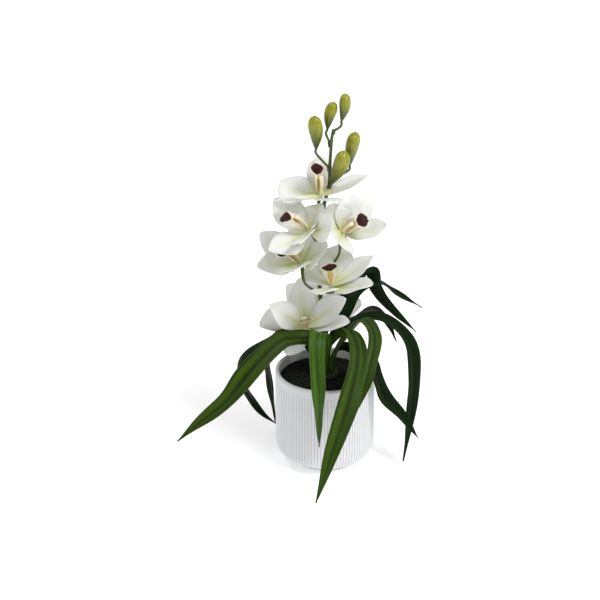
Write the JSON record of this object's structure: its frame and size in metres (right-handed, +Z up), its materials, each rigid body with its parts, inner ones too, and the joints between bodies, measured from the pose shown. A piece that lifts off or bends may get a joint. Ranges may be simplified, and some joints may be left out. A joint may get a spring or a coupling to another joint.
{
  "type": "potted orchid",
  "caption": "Potted spray orchid with arching strap leaves, one upright spike of white flowers with dark-blotched lips, closed buds at its top, and a fluted cylindrical pot with a rounded foot.",
  "frame": {"origin": "centre of the pot's flat base, on the surface it stands on", "axes": "+Z is up, the pot's axis and the plant's longest extent; -Y is the front, where most flowers face; +X is to the viewer's right"},
  "size_m": [0.3053, 0.246, 0.474],
  "materials": {
    "pot": "satin white glaze over fine vertical flutes",
    "medium": "dark, rough bark mix",
    "crown": "matt, fibrous",
    "leaf": "semi-gloss, finely ribbed along its length",
    "tepal": "soft matt white, yellow-green at the base",
    "lip": "soft matt, white with a dark maroon blotch",
    "column": "waxy cream",
    "stalk": "semi-gloss olive green",
    "bud": "waxy yellow-green"
  },
  "bodies": {
    "root": {"pot": "pot", "growing_medium": "medium", "crown": "crown", "leaf_1": "leaf", "leaf_2": "leaf", "leaf_3": "leaf", "leaf_4": "leaf", "leaf_5": "leaf", "leaf_6": "leaf", "leaf_7": "leaf", "leaf_8": "leaf", "leaf_9": "leaf", "leaf_10": "leaf", "leaf_11": "leaf", "flower_1_sepals": "tepal", "flower_1_petals": "tepal", "flower_1_lip": "lip", "flower_1_column": "column", "flower_2_sepals": "tepal", "flower_2_petals": "tepal", "flower_2_lip": "lip", "flower_2_column": "column", "flower_3_sepals": "tepal", "flower_3_petals": "tepal", "flower_3_lip": "lip", "flower_3_column": "column", "flower_4_sepals": "tepal", "flower_4_petals": "tepal", "flower_4_lip": "lip", "flower_4_column": "column", "flower_5_sepals": "tepal", "flower_5_petals": "tepal", "flower_5_lip": "lip", "flower_5_column": "column", "flower_6_sepals": "tepal", "flower_6_petals": "tepal", "flower_6_lip": "lip", "flower_6_column": "column", "flower_7_sepals": "tepal", "flower_7_petals": "tepal", "flower_7_lip": "lip", "flower_7_column": "column", "flower_spike": "stalk", "bud_1": "bud", "bud_2": "bud", "bud_3": "bud", "bud_4": "bud", "bud_5": "bud"}
  },
  "joints": []
}
